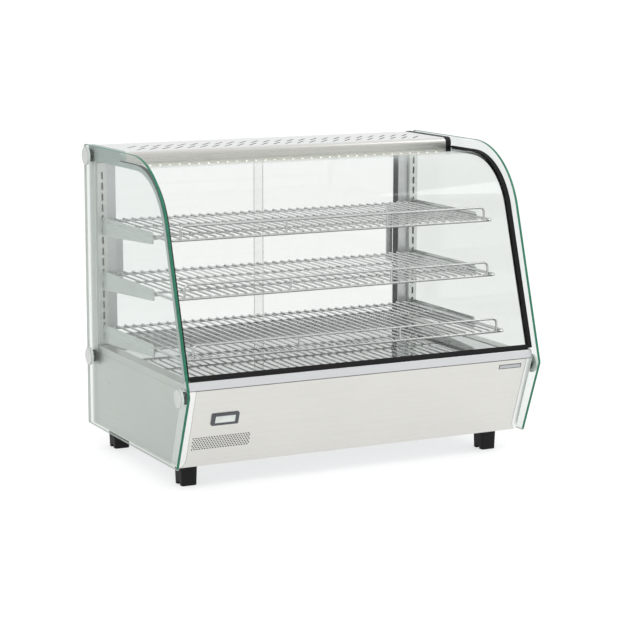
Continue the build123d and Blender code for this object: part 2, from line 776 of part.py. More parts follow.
def led_driver():
    """Sealed supply for the lamp strip, inside the top housing, with a lug at each end."""
    centre = (250, 215)
    length, width, height = 130, 42, 24
    lug_h = 4
    with BuildPart() as driver:
        with BuildSketch(Plane.XY.offset(HOUSING_Z + SHEET)):
            with Locations(centre):
                with GridLocations(length + 12, 1, 2, 1):
                    RectangleRounded(16, 14, 3)
        extrude(amount=lug_h)
        with BuildSketch(Plane.XY.offset(HOUSING_Z + SHEET)):
            with Locations(centre):
                RectangleRounded(length, width, 4)
        extrude(amount=height)
    write(driver, "led_driver")


def top_trims():
    """Black end caps of the top housing, open towards the middle of the case."""
    for side, sign in SIDES.items():
        with BuildPart() as trim:
            with BuildSketch(side_plane(sign, TRIM_X, BODY_X)):
                add(trim_outline(0))
            extrude(amount=BODY_X - TRIM_X)
            with BuildSketch(side_plane(sign, TRIM_X - 1, BODY_X - TRIM_WALL)):
                add(trim_outline(TRIM_WALL))
            extrude(amount=BODY_X - TRIM_WALL - TRIM_X + 1, mode=Mode.SUBTRACT)
        write(trim, f"top_trim_{side}")


def trim_outline(inset):
    """Side view of an end cap: a millimetre taller and deeper than the cover, shrunk by an inset."""
    front = HOUSING_Y + inset
    rear = REAR_Y - inset
    top = TRIM_TOP_Z - inset
    low = HOUSING_Z + inset
    with BuildSketch(mode=Mode.PRIVATE) as outline:
        with BuildLine():
            Polyline((front, low), (front, top), (rear, top), (rear, low), close=True)
        make_face()
        corner = outline.vertices().group_by(Axis.X)[0].sort_by(Axis.Y)[-1]
        fillet(corner, HOUSING_R - inset)
    return outline.sketch


# ---------------------------------------------------------------- posts and shelf supports
def corner_posts():
    """Box-section posts at the rear corners."""
    width = BODY_X - POST_X
    depth = REAR_Y - POST_Y
    for side, sign in SIDES.items():
        with BuildPart() as post:
            with BuildSketch(Plane.XY.offset(FOOT_H)):
                with Locations((sign * (POST_X + BODY_X) / 2, (POST_Y + REAR_Y) / 2)):
                    RectangleRounded(width, depth, 2)
                    RectangleRounded(width - 2 * SHEET, depth - 2 * SHEET, 0.5, mode=Mode.SUBTRACT)
            extrude(amount=POST_TOP_Z - FOOT_H)
        write(post, f"corner_post_{side}")


def shelf_uprights():
    """Slotted channels on the front of the posts, which the shelf brackets hook into."""
    count = int((UPRIGHT_HIGH - HOOK_LOW_Z) / HOOK_PITCH)
    for side, sign in SIDES.items():
        with BuildPart() as upright:
            with BuildSketch(Plane.XY.offset(UPRIGHT_LOW)):
                with Locations((sign * BRACKET_X, (UPRIGHT_Y + POST_Y) / 2)):
                    Rectangle(UPRIGHT_W, POST_Y - UPRIGHT_Y)
                with Locations((sign * BRACKET_X, (UPRIGHT_Y + POST_Y) / 2 + UPRIGHT_T)):
                    Rectangle(UPRIGHT_W - 2 * SHEET, POST_Y - UPRIGHT_Y, mode=Mode.SUBTRACT)
            extrude(amount=UPRIGHT_HIGH - UPRIGHT_LOW)
            with BuildSketch(Plane.XZ.offset(-UPRIGHT_Y + 1)):
                for step in range(count):
                    height = HOOK_LOW_Z + HOOK_PITCH * step + HOOK_SLOT_H / 2
                    with Locations((sign * BRACKET_X, height)):
                        Rectangle(HOOK_SLOT_W, HOOK_SLOT_H)
            extrude(amount=-UPRIGHT_T - 1, mode=Mode.SUBTRACT)
        write(upright, f"shelf_upright_{side}")


def shelf_brackets():
    """Hooked cantilever plates beside the wire shelf, with two studs that it lies on."""
    rear = UPRIGHT_Y - HOOK_GAP
    front = BRACKET_FRONT_Y
    hook_in = UPRIGHT_Y + UPRIGHT_T + HOOK_GAP
    hook_out = hook_in + HOOK_T
    for level, sizes in SHELF_LEVELS.items():
        z = sizes["z"]
        steps = round((z - SHELF_LEVELS["lower"]["z"]) / HOOK_PITCH)
        first = HOOK_LOW_Z + steps * HOOK_PITCH
        for side, sign in SIDES.items():
            with BuildPart() as bracket:
                plane = side_plane(sign, BRACKET_X - BRACKET_T / 2, BRACKET_X + BRACKET_T / 2)
                with BuildSketch(plane) as blade:
                    with BuildLine():
                        Polyline(
                            (rear, z - BRACKET_REAR_DROP),
                            (rear, z + BRACKET_RISE),
                            (front, z + BRACKET_RISE),
                            (front, z - BRACKET_FRONT_DROP),
                            (rear - BRACKET_HEEL, z - BRACKET_REAR_DROP),
                            close=True,
                        )
                    make_face()
                    fillet(blade.vertices().group_by(Axis.X)[0], 7)
                    for hook in (first, first + HOOK_PITCH):
                        neck = hook + 0.4
                        with BuildLine():
                            Polyline(
                                (rear - 1, neck),
                                (hook_in, neck),
                                (hook_in, neck - BRACKET_BARB),
                                (hook_out, neck - BRACKET_BARB + 1.5),
                                (hook_out, neck + BRACKET_NECK),
                                (rear - 1, neck + BRACKET_NECK),
                                close=True,
                            )
                        make_face()
                extrude(amount=BRACKET_T)
                inner = BRACKET_X - BRACKET_T / 2
                with BuildSketch(side_plane(sign, STUD_X, inner)):
                    stud_z = z - STUD_R - 0.3
                    with Locations((front + STUD_INSET[0], stud_z), (rear - STUD_INSET[1], stud_z)):
                        Circle(STUD_R)
                extrude(amount=inner - STUD_X)
            write(bracket, f"bracket_{level}_{side}")


def wire_shelves():
    """Chromed wire shelves: frame, front-to-back wires, two cross bars and a front fence."""
    for level, sizes in SHELF_LEVELS.items():
        z = sizes["z"] + FRAME_WIRE_R
        front = sizes["front"]
        middle = (front + SHELF_REAR_Y) / 2
        length = SHELF_REAR_Y - front
        with BuildPart() as shelf:
            with BuildLine() as ring:
                FilletPolyline(
                    (SHELF_X, front, z),
                    (SHELF_X, SHELF_REAR_Y, z),
                    (-SHELF_X, SHELF_REAR_Y, z),
                    (-SHELF_X, front, z),
                    radius=SHELF_CORNER_R,
                    close=True,
                )
            with BuildSketch(Plane(origin=ring.line @ 0, z_dir=ring.line % 0)):
                Circle(FRAME_WIRE_R)
            sweep(path=ring.line)
            with BuildSketch(Plane.YZ.offset(-SHELF_X)):
                with Locations(*[(y, z) for y in CROSS_BAR_Y]):
                    Circle(CROSS_BAR_R)
            extrude(amount=2 * SHELF_X)
            grid_z = z + FRAME_WIRE_R + GRID_WIRE_R - WELD_BITE
            with BuildSketch(Plane.XZ.offset(-middle)):
                with Locations((0, grid_z)):
                    with GridLocations(GRID_PITCH, 1, GRID_COUNT, 1):
                        Circle(GRID_WIRE_R)
            extrude(amount=length / 2 + FRAME_WIRE_R, both=True)
            fence_z = z + FENCE_H
            with BuildLine() as rail:
                FilletPolyline(
                    (-FENCE_X, front - 1, z + 1),
                    (-FENCE_X, front - 1, fence_z),
                    (FENCE_X, front - 1, fence_z),
                    (FENCE_X, front - 1, z + 1),
                    radius=FENCE_R,
                )
            with BuildSketch(Plane(origin=rail.line @ 0, z_dir=rail.line % 0)):
                Circle(FENCE_WIRE_R)
            sweep(path=rail.line)
            with BuildSketch(Plane.XY.offset(z)):
                with Locations((-FENCE_X / 3, front - 1), (FENCE_X / 3, front - 1)):
                    Circle(FENCE_WIRE_R - 0.3)
            extrude(amount=FENCE_H)
        write(shelf, f"shelf_{level}")


# ---------------------------------------------------------------- rear doors
def track_profile(base_z, direction, name):
    """Double-groove track along the rear; direction +1 opens upwards, -1 downwards."""
    floor_t = 2.0
    centre = (TRACK_FRONT_Y + TRACK_REAR_Y) / 2
    with BuildPart() as track:
        with BuildSketch(Plane.YZ.offset(-POST_X + 0.3)):
            with Locations((centre, base_z + direction * floor_t / 2)):
                Rectangle(TRACK_REAR_Y - TRACK_FRONT_Y, floor_t)
            for y in (TRACK_FRONT_Y + SHEET / 2, centre, TRACK_REAR_Y - SHEET / 2):
                with Locations((y, base_z + direction * TRACK_DEPTH / 2)):
                    Rectangle(SHEET, TRACK_DEPTH)
        extrude(amount=2 * (POST_X - 0.3))
    write(track, name)


def door_jambs():
    """Channels beside the posts that take the closed doors."""
    low = TRACK_LOW_Z + TRACK_DEPTH + 0.2
    high = TRACK_TOP_Z - TRACK_DEPTH - 0.2
    middle = (TRACK_FRONT_Y + TRACK_REAR_Y) / 2
    width = 24.0
    centre = POST_X - 0.2 - width / 2
    with BuildPart() as jambs:
        for sign in SIDES.values():
            with BuildSketch(Plane.XY.offset(low)):
                with Locations((sign * centre, middle)):
                    Rectangle(width, TRACK_REAR_Y - TRACK_FRONT_Y)
                with Locations((sign * (centre - SHEET), middle)):
                    Rectangle(width, TRACK_REAR_Y - TRACK_FRONT_Y - 2 * SHEET, mode=Mode.SUBTRACT)
            extrude(amount=high - low)
    write(jambs, "door_jambs")


def door(side, sign):
    """Glass sliding door with an aluminium pull and two sliding shoes."""
    y = DOOR_Y[side]
    outer = sign * DOOR_OUTER_X
    inner = -sign * DOOR_MEET_X[side]
    middle_z = (DOOR_LOW_Z + DOOR_HIGH_Z) / 2
    with BuildPart() as pane:
        with BuildSketch(Plane.XZ.offset(-y)):
            with Locations(((outer + inner) / 2, middle_z)):
                RectangleRounded(abs(outer - inner), DOOR_HIGH_Z - DOOR_LOW_Z, 3)
        extrude(amount=DOOR_T / 2, both=True)
        chamfer(pane.faces().filter_by(Axis.Y).edges(), 0.5)
    write(pane, f"door_{side}_glass")
    face = y + DOOR_T / 2
    with BuildPart() as fittings:
        with BuildSketch(Plane.XY.offset(middle_z - PULL_SIZE[1] / 2)) as grip:
            with Locations((sign * PULL_X, face + PULL_T / 2)):
                Rectangle(PULL_SIZE[0], PULL_T)
            with Locations((sign * PULL_X, face + PULL_T)):
                Circle(PULL_GROOVE_R, mode=Mode.SUBTRACT)
            fillet(grip.vertices().group_by(Axis.Y)[-1], 0.6)
        extrude(amount=PULL_SIZE[1])
        for x in SHOE_X:
            with BuildSketch(Plane.YZ.offset(sign * x - SHOE_SIZE[0] / 2)):
                with Locations((y, TRACK_LOW_Z + 2.3 + SHOE_SIZE[2] / 2)):
                    Rectangle(SHOE_SIZE[1], SHOE_SIZE[2])
                with Locations((y, DOOR_LOW_Z + 6)):
                    Rectangle(DOOR_T + 0.2, 12, mode=Mode.SUBTRACT)
            extrude(amount=SHOE_SIZE[0])
    write(fittings, f"door_{side}_fittings")


# ---------------------------------------------------------------- display and controls
def display_bezel():
    """Moulded bezel of the temperature display, with its body behind the panel."""
    width, height = DISPLAY_SIZE
    with BuildPart() as bezel:
        with BuildSketch(front_plane()):
            with Locations(DISPLAY_CENTRE):
                RectangleRounded(width, height, 3)
        extrude(amount=DISPLAY_PROUD)
        fillet(bezel.faces().sort_by(Axis.Y)[0].edges(), 1)
        with BuildSketch(front_plane(DISPLAY_BODY_DEPTH)):
            with Locations(DISPLAY_CENTRE):
                RectangleRounded(*DISPLAY_BODY, 1)
        extrude(amount=DISPLAY_BODY_DEPTH)
        with BuildSketch(front_plane(-DISPLAY_RECESS)):
            with Locations(DISPLAY_CENTRE):
                RectangleRounded(*DISPLAY_WINDOW, 1)
        extrude(amount=DISPLAY_PROUD, mode=Mode.SUBTRACT)
    write(bezel, "display_bezel")


def display_lens():
    """Clear window of the display."""
    with BuildPart() as lens:
        with BuildSketch(front_plane(-DISPLAY_RECESS - 0.05)):
            with Locations(DISPLAY_CENTRE):
                RectangleRounded(DISPLAY_WINDOW[0] - 0.4, DISPLAY_WINDOW[1] - 0.4, 0.9)
        extrude(amount=1.2)
    write(lens, "display_lens")


def rating_plate():
    """Small blank plate near the top right corner of the slanted panel."""
    with BuildPart() as plate:
        with BuildSketch(front_plane()):
            with Locations(PLATE_CENTRE):
                RectangleRounded(PLATE_SIZE[0], PLATE_SIZE[1], 1.2)
        extrude(amount=0.6)
    write(plate, "rating_plate")


def thermostat():
    """Thermostat behind the rear panel, with its shaft, and the knob on it."""
    inner = REAR_PANEL_Y - SHEET
    body_size = (46, 38, 34)
    shaft_length = 14
    with BuildPart() as body:
        with BuildSketch(Plane.XZ.offset(-inner)):
            with Locations((KNOB_X, CONTROL_Z)):
                RectangleRounded(body_size[0], body_size[1], 3)
        extrude(amount=body_size[2])
        with BuildSketch(Plane.XZ.offset(-inner)):
            with Locations((KNOB_X, CONTROL_Z)):
                Circle(SHAFT_R)
        extrude(amount=-shaft_length)
    write(body, "thermostat_body")
    low = REAR_PANEL_Y + 0.8
    skirt_h = 5
    grip_h = 11
    grip_r = KNOB_R - 3
    flutes = 16
    with BuildPart() as knob:
        with BuildSketch(Plane.XZ.offset(-low)):
            with Locations((KNOB_X, CONTROL_Z)):
                Circle(KNOB_R)
        extrude(amount=-skirt_h)
        with BuildSketch(Plane.XZ.offset(-low - skirt_h)):
            with Locations((KNOB_X, CONTROL_Z)):
                Circle(grip_r)
        extrude(amount=-grip_h)
        rim = knob.faces().sort_by(Axis.Y)[-1].edges()
        fillet(rim, 1)
        with BuildSketch(Plane.XZ.offset(-low)):
            with Locations((KNOB_X, CONTROL_Z)):
                with PolarLocations(grip_r, flutes):
                    Circle(1)
        extrude(amount=-skirt_h - grip_h, mode=Mode.SUBTRACT)
        with BuildSketch(Plane.XZ.offset(-low)):
            with Locations((KNOB_X, CONTROL_Z)):
                Circle(SHAFT_R + 0.3)
        extrude(amount=-12.5, mode=Mode.SUBTRACT)
        with BuildSketch(Plane.XZ.offset(-low - 14)):
            with Locations((KNOB_X, CONTROL_Z + KNOB_R - 8)):
                Rectangle(1.6, 7)
        extrude(amount=-3, mode=Mode.SUBTRACT)
    write(knob, "thermostat_knob")


def switches():
    """Two rocker switches: their housings, and the rockers that tip about X."""
    flange = (30, 38, 2)
    well = (20, 29, 15)
    with BuildPart() as housings:
        for x in SWITCHES.values():
            with BuildSketch(Plane.XZ.offset(-REAR_PANEL_Y)):
                with Locations((x, CONTROL_Z)):
                    RectangleRounded(flange[0], flange[1], 2)
            extrude(amount=-flange[2])
            with BuildSketch(Plane.XZ.offset(-REAR_PANEL_Y)):
                with Locations((x, CONTROL_Z)):
                    RectangleRounded(24.6, 32.6, 1)
            extrude(amount=20)
            with BuildSketch(Plane.XZ.offset(-REAR_PANEL_Y - 3)):
                with Locations((x, CONTROL_Z)):
                    Rectangle(well[0], well[1])
            extrude(amount=well[2], mode=Mode.SUBTRACT)
            with BuildSketch(Plane.YZ.offset(x - 11.4)):
                with Locations((REAR_PANEL_Y - 3, CONTROL_Z)):
                    Circle(1.9)
            extrude(amount=22.8, mode=Mode.SUBTRACT)
    write(housings, "switch_housings")
    for name, x in SWITCHES.items():
        with BuildPart() as rocker:
            with BuildSketch(Plane.YZ.offset(x - 9.4)) as side_view:
                with BuildLine():
                    Polyline((-5, -8), (3.4, -12.5), (2.2, 0), (3.4, 12.5), (-5, 8), close=True)
                make_face()
                fillet(side_view.vertices().sort_by(Axis.X)[-2:], 0.8)
            extrude(amount=18.8)
            with BuildSketch(Plane.YZ.offset(x - 11)):
                Circle(1.6)
            extrude(amount=22)
        turn = Location((0, REAR_PANEL_Y - 3, CONTROL_Z), (-9, 0, 0))
        tipped = rocker.part.moved(turn)
        tipped.label = f"{name}_rocker"
        export_step(tipped, f"parts/{name}_rocker.step")


def cable_gland():
    """Plain gland in the rear panel for the supply cable."""
    with BuildPart() as gland:
        with BuildSketch(Plane.XZ.offset(-REAR_PANEL_Y)):
            with Locations((GLAND_X, CONTROL_Z)):
                RegularPolygon(12, 6)
        extrude(amount=-6)
        with BuildSketch(Plane.XZ.offset(-REAR_PANEL_Y - 6)):
            with Locations((GLAND_X, CONTROL_Z)):
                Circle(9)
        extrude(amount=-9, taper=8)
        with BuildSketch(Plane.XZ.offset(-REAR_PANEL_Y)):
            with Locations((GLAND_X, CONTROL_Z)):
                Circle(GLAND_R)
        extrude(amount=10)
        with BuildSketch(Plane.XZ.offset(-REAR_PANEL_Y + 10)):
            with Locations((GLAND_X, CONTROL_Z)):
                Circle(GLAND_BORE_R)
        extrude(amount=-26, mode=Mode.SUBTRACT)
    write(gland, "cable_gland")


# ---------------------------------------------------------------- build everything
base_pan()
base_sides()
base_rear_panel()
front_frame()
front_panel()
front_top_strip()
deck_frame()
deck_plate()
heat_shield()
heating_elements()
feet()
foot_screws()
side_glasses()
glass_caps()
cap_washers()
front_glass()
glass_gaskets()
top_cover()
lamp_tray()
led_strip()
led_driver()
top_trims()
corner_posts()
shelf_uprights()
shelf_brackets()
wire_shelves()
track_profile(TRACK_LOW_Z, 1, "door_track_bottom")
track_profile(TRACK_TOP_Z, -1, "door_track_top")
door_jambs()
door("left", -1)
door("right", 1)
display_bezel()
display_lens()
rating_plate()
thermostat()
switches()
cable_gland()
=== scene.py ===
import math

import bmesh
import bpy
from mathutils import Matrix, Vector


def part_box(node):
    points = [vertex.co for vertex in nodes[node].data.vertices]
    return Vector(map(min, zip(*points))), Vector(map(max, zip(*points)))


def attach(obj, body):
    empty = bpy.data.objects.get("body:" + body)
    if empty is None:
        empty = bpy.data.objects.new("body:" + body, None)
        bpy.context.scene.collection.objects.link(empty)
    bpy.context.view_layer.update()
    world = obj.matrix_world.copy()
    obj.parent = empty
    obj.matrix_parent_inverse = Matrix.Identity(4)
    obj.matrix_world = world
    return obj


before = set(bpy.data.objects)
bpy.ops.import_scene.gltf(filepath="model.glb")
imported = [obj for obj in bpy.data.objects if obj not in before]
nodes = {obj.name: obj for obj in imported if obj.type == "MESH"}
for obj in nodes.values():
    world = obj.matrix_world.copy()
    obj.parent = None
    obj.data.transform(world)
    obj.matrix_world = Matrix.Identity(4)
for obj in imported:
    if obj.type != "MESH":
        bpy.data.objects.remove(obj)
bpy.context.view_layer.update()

CABINET = "cabinet"
SIDES = ("left", "right")
LEVELS = ("upper", "middle", "lower")


def span(name, axis):
    """Lowest and highest place of a CAD node along one axis."""
    low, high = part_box(name)
    return low[axis], high[axis]


# The slanted front: its lower edge, its upper edge, and a flat frame with X along the case,
# Y up the slope and Z out of the face.
TOE = Vector((0.0, -0.2052, span("front_frame", 2)[0]))
NOSE = Vector((0.0, span("front_top_strip", 1)[0], span("front_top_strip", 2)[0]))
UP_SLOPE = (NOSE - TOE).normalized()
OUT_SLOPE = Vector((0.0, -UP_SLOPE.z, UP_SLOPE.y))
FRONT = Matrix((Vector((1, 0, 0)), UP_SLOPE, OUT_SLOPE)).transposed().to_4x4()
FRONT.translation = TOE

# The rear panel: X towards the left side, Y up and Z out of the panel.
REAR_Y = span("base_rear_panel", 1)[1]
REAR = Matrix(((-1, 0, 0, 0), (0, 0, 1, REAR_Y), (0, 1, 0, 0), (0, 0, 0, 1)))

# The vent holes: their middle along the case and up the slope, and the half size of their field.
VENT_X = -0.3235
VENT_UP = 0.056
VENT_MIDDLE = (VENT_X, TOE.y + UP_SLOPE.y * VENT_UP, TOE.z + UP_SLOPE.z * VENT_UP)
VENT_HALF_WIDTH = 0.0685
VENT_HALF_HEIGHT = 0.022

# The ground edges of the glass are green except at the back and along the foot.
PALE_EDGE_BEHIND = 0.2805
PALE_EDGE_BELOW = 0.0545
PALE_EDGE = (0.40, 0.44, 0.39)


# ---------------------------------------------------------------- node helpers
def shader(name):
    """An empty material, with its node tree and its output node."""
    mat = bpy.data.materials.new(name)
    mat.use_nodes = True
    tree = mat.node_tree
    tree.nodes.clear()
    return mat, tree, tree.nodes.new("ShaderNodeOutputMaterial")


def add(tree, kind, values=None, **props):
    """A node with its properties set, and its sockets set or linked."""
    made = tree.nodes.new("ShaderNode" + kind)
    for key, value in props.items():
        setattr(made, key, value)
    for key, value in (values or {}).items():
        if isinstance(value, bpy.types.NodeSocket):
            tree.links.new(value, made.inputs[key])
        else:
            made.inputs[key].default_value = value
    return made


def place(tree, scale):
    """Object coordinates, in metres, times a scale for each axis."""
    coords = add(tree, "TexCoord").outputs["Object"]
    return add(tree, "Mapping", {"Vector": coords, "Scale": scale}).outputs["Vector"]


def noise(tree, scale, detail=2.0, roughness=0.5):
    """Noise from 0 to 1, at a scale per metre for each axis."""
    if isinstance(scale, (int, float)):
        scale = (scale, scale, scale)
    values = {"Vector": place(tree, scale), "Scale": 1.0, "Detail": detail, "Roughness": roughness}
    return add(tree, "TexNoise", values).outputs["Fac"]


def math_node(tree, operation, first, second=0.0):
    """One arithmetic node."""
    return add(tree, "Math", {0: first, 1: second}, operation=operation).outputs[0]


def spread(tree, value, low, high, start=0.3, end=0.7):
    """A value from start..end, stretched to low..high."""
    values = {"Value": value, "From Min": start, "From Max": end, "To Min": low, "To Max": high}
    return add(tree, "MapRange", values).outputs["Result"]


def blend_colour(tree, factor, first, second):
    """A mix of two colours or colour sockets."""
    made = tree.nodes.new("ShaderNodeMix")
    made.data_type = "RGBA"
    for key, value in ((0, factor), (6, first), (7, second)):
        if isinstance(value, bpy.types.NodeSocket):
            tree.links.new(value, made.inputs[key])
        elif isinstance(value, tuple):
            made.inputs[key].default_value = (*value, 1.0)
        else:
            made.inputs[key].default_value = value
    return made.outputs[2]


def bump(tree, height, distance, strength=1.0):
    """A surface normal from a height of 0 to 1, distance metres deep."""
    values = {"Height": height, "Distance": distance, "Strength": strength}
    return add(tree, "Bump", values).outputs["Normal"]


def normal_part(tree, axis):
    """One part of the true surface normal."""
    normal = add(tree, "NewGeometry").outputs["True Normal"]
    return add(tree, "SeparateXYZ", {0: normal}).outputs[axis]


def outward_side(tree):
    """1 on faces that look away from the middle of the case along X, else 0."""
    coords = add(tree, "TexCoord").outputs["Object"]
    side = add(tree, "SeparateXYZ", {0: coords}).outputs["X"]
    outwards = math_node(tree, "MULTIPLY", side, normal_part(tree, "X"))
    return math_node(tree, "GREATER_THAN", outwards, 0.25)


def vent_wall_shade(tree):
    """1 on the walls of the vent holes in the slanted front panel, else 0: where painted shade goes."""
    normal = add(tree, "NewGeometry").outputs["True Normal"]
    along = {0: normal, 1: tuple(OUT_SLOPE)}
    facing = add(tree, "VectorMath", along, operation="DOT_PRODUCT").outputs["Value"]
    tilt = math_node(tree, "ABSOLUTE", facing)
    coords = add(tree, "TexCoord").outputs["Object"]
    offset = add(tree, "VectorMath", {0: coords, 1: VENT_MIDDLE}, operation="SUBTRACT").outputs[0]
    inside = add(tree, "VectorMath", {0: offset}, operation="ABSOLUTE").outputs[0]
    parts = add(tree, "SeparateXYZ", {0: inside})
    wide = math_node(tree, "LESS_THAN", parts.outputs["X"], VENT_HALF_WIDTH)
    high = math_node(tree, "LESS_THAN", parts.outputs["Z"], VENT_HALF_HEIGHT)
    near = math_node(tree, "MULTIPLY", wide, high)
    return math_node(tree, "MULTIPLY", near, math_node(tree, "LESS_THAN", tilt, 0.7))


def finish_material(tree, out, surface):
    """Link a shader to the output."""
    tree.links.new(surface, out.inputs["Surface"])


def principled(tree, out, values):
    """Finish a material with one principled shader."""
    finish_material(tree, out, add(tree, "BsdfPrincipled", values).outputs[0])


# ---------------------------------------------------------------- metals
def brushed_steel(name, colour, roughness, along, contrast=0.03, relief=0.2, upper=None, vents=False):
    """Stainless sheet with a fine grain along one axis and faint cloudy staining.

    upper, when given, is a painted highlight: a lighter colour on faces that point up, as if lit from
    above. vents paints shade on the walls of the vent holes.
    """
    mat, tree, out = shader(name)
    fine = {"X": (9, 1500, 1500), "Y": (1500, 9, 1500), "Z": (1500, 1500, 9)}[along]
    coarse = {"X": (2.5, 260, 260), "Y": (260, 2.5, 260), "Z": (260, 260, 2.5)}[along]
    grain = noise(tree, fine, 3.0, 0.6)
    streaks = noise(tree, coarse, 2.0, 0.5)
    cloud = noise(tree, 4.0, 3.0, 0.55)
    half_streaks = math_node(tree, "MULTIPLY", streaks, 0.5)
    half_cloud = math_node(tree, "MULTIPLY", cloud, 0.5)
    tone = math_node(tree, "ADD", half_streaks, half_cloud)
    dark = tuple(c * (1 - contrast) for c in colour)
    light = tuple(min(1.0, c * (1 + contrast)) for c in colour)
    base = blend_colour(tree, spread(tree, tone, 0.0, 1.0, 0.35, 0.65), dark, light)
    if upper:
        # Painted highlight: faces that point up blend towards the lighter upper colour, as if lit from
        # above.
        level = spread(tree, normal_part(tree, "Z"), 0.0, 1.0, 0.5, 0.98)
        base = blend_colour(tree, level, base, upper)
    if vents:
        # Painted shade: the walls of the vent holes are darkened almost to black.
        base = blend_colour(tree, vent_wall_shade(tree), base, (0.03, 0.03, 0.03))
    values = {
        "Base Color": base,
        "Metallic": 1.0,
        "Roughness": spread(tree, grain, roughness - 0.03, roughness + 0.05),
        "Normal": bump(tree, grain, 0.00004, relief),
    }
    principled(tree, out, values)
    return mat


def polished_steel(name, colour, roughness):
    """Mirror-polished plate with faint wiping marks."""
    mat, tree, out = shader(name)
    wipes = noise(tree, (18, 46, 40), 4.0, 0.6)
    haze = noise(tree, 3.0, 2.0)
    dark = tuple(c * 0.97 for c in colour)
    values = {
        "Base Color": blend_colour(tree, haze, dark, colour),
        "Metallic": 1.0,
        "Roughness": spread(tree, wipes, roughness, roughness + 0.05, 0.4, 0.75),
        "Normal": bump(tree, haze, 0.0006, 0.12),
    }
    principled(tree, out, values)
    return mat


def turned_steel(name, colour, roughness):
    """Satin face of a turned cap, with painted shade round its edge and a fine radial sheen; faces that
    look in towards the middle of the case are a flat pale grey-green and not metal.
    """
    mat, tree, out = shader(name)
    grain = noise(tree, 1400.0, 2.0)
    haze = noise(tree, 60.0, 3.0)
    # Painted shade for the rim of the cap, where its face turns away from the side.
    dark = tuple(c * 0.42 for c in colour)
    flat = math_node(tree, "ABSOLUTE", normal_part(tree, "X"))
    face = spread(tree, flat, 0.0, 1.0, 0.75, 0.98)
    tone = blend_colour(tree, spread(tree, haze, 0.0, 1.0), tuple(c * 0.94 for c in colour), colour)
    outer = outward_side(tree)
    shell = blend_colour(tree, face, dark, tone)
    values = {
        "Base Color": blend_colour(tree, outer, (0.62, 0.66, 0.63), shell),
        "Metallic": outer,
        "Roughness": spread(tree, grain, roughness - 0.04, roughness + 0.06),
        "Normal": bump(tree, grain, 0.00002, 0.3),
    }
    principled(tree, out, values)
    return mat


def chromed_wire(name, colour):
    """Bright chrome over drawn wire, with slight pitting, and painted shade on faces that point down."""
    mat, tree, out = shader(name)
    pits = noise(tree, 900.0, 2.0)
    dull = noise(tree, 25.0, 3.0)
    dark = tuple(c * 0.86 for c in colour)
    # Painted shade: faces that point down turn towards this dark colour.
    shaded = tuple(c * 0.34 for c in colour)
    upper = blend_colour(tree, spread(tree, dull, 0.0, 1.0), dark, colour)
    level = spread(tree, normal_part(tree, "Z"), 0.0, 1.0, -0.55, 0.35)
    values = {
        "Base Color": blend_colour(tree, level, shaded, upper),
        "Metallic": 1.0,
        "Roughness": spread(tree, dull, 0.09, 0.2),
        "Normal": bump(tree, pits, 0.00005, 0.4),
    }
    principled(tree, out, values)
    return mat


def heated_tube(name):
    """Steel heating tube with brown and blue heat staining."""
    mat, tree, out = shader(name)
    bands = noise(tree, (14, 14, 60), 3.0)
    base = blend_colour(tree, spread(tree, bands, 0.0, 1.0), (0.16, 0.11, 0.08), (0.24, 0.25, 0.30))
    values = {"Base Color": base, "Metallic": 0.9, "Roughness": spread(tree, bands, 0.35, 0.55)}
    principled(tree, out, values)
    return mat


# ---------------------------------------------------------------- glass
def sheet_glass(name, tint, edge_test, gloss, rim_colour, rim_cover):
    """Clear sheet glass: tinted see-through faces, and ground edges.

    edge_test is (axis, operation, limit): where the size of the normal along that axis passes the
    test, the surface is an edge. rim_colour is what an edge shows, and rim_cover how much it hides.
    """
    mat, tree, out = shader(name)
    facing = add(tree, "LayerWeight", {"Blend": 0.5}).outputs["Facing"]
    grazing = math_node(tree, "POWER", facing, 5.0)
    mirror = math_node(tree, "MULTIPLY", math_node(tree, "MULTIPLY", grazing, 0.9), gloss)
    mirror_base = math_node(tree, "ADD", mirror, 0.04 * gloss)
    clear = add(tree, "BsdfTransparent", {"Color": (*tint, 1.0)}).outputs[0]
    wipe = noise(tree, (9, 9, 14), 3.0)
    shine = {"Color": (0.96, 1.0, 0.98, 1.0), "Roughness": spread(tree, wipe, 0.0, 0.03)}
    reflect = add(tree, "BsdfGlossy", shine).outputs[0]
    face = add(tree, "MixShader", {0: mirror_base, 1: clear, 2: reflect}).outputs[0]

    axis, operation, limit = edge_test
    across = math_node(tree, "ABSOLUTE", normal_part(tree, axis))
    is_edge = math_node(tree, operation, across, limit)
    ripple = noise(tree, 160.0, 2.0)
    deep = tuple(c * 0.7 for c in rim_colour)
    strong = blend_colour(tree, spread(tree, ripple, 0.0, 1.0), deep, rim_colour)
    coords = add(tree, "TexCoord").outputs["Object"]
    parts = add(tree, "SeparateXYZ", {0: coords})
    behind = math_node(tree, "GREATER_THAN", parts.outputs["Y"], PALE_EDGE_BEHIND)
    below = math_node(tree, "LESS_THAN", parts.outputs["Z"], PALE_EDGE_BELOW)
    faint = math_node(tree, "MAXIMUM", behind, below)
    rim_values = {
        "Base Color": blend_colour(tree, faint, strong, PALE_EDGE),
        "Roughness": 0.3,
        "IOR": 1.45,
        "Normal": bump(tree, noise(tree, 700.0, 2.0), 0.00003, 0.3),
    }
    rim = add(tree, "BsdfPrincipled", rim_values).outputs[0]
    cover = spread(tree, faint, rim_cover, 0.75, 0.0, 1.0)
    seen = add(tree, "MixShader", {0: cover, 1: clear, 2: rim}).outputs[0]
    finish_material(tree, out, add(tree, "MixShader", {0: is_edge, 1: face, 2: seen}).outputs[0])
    return mat


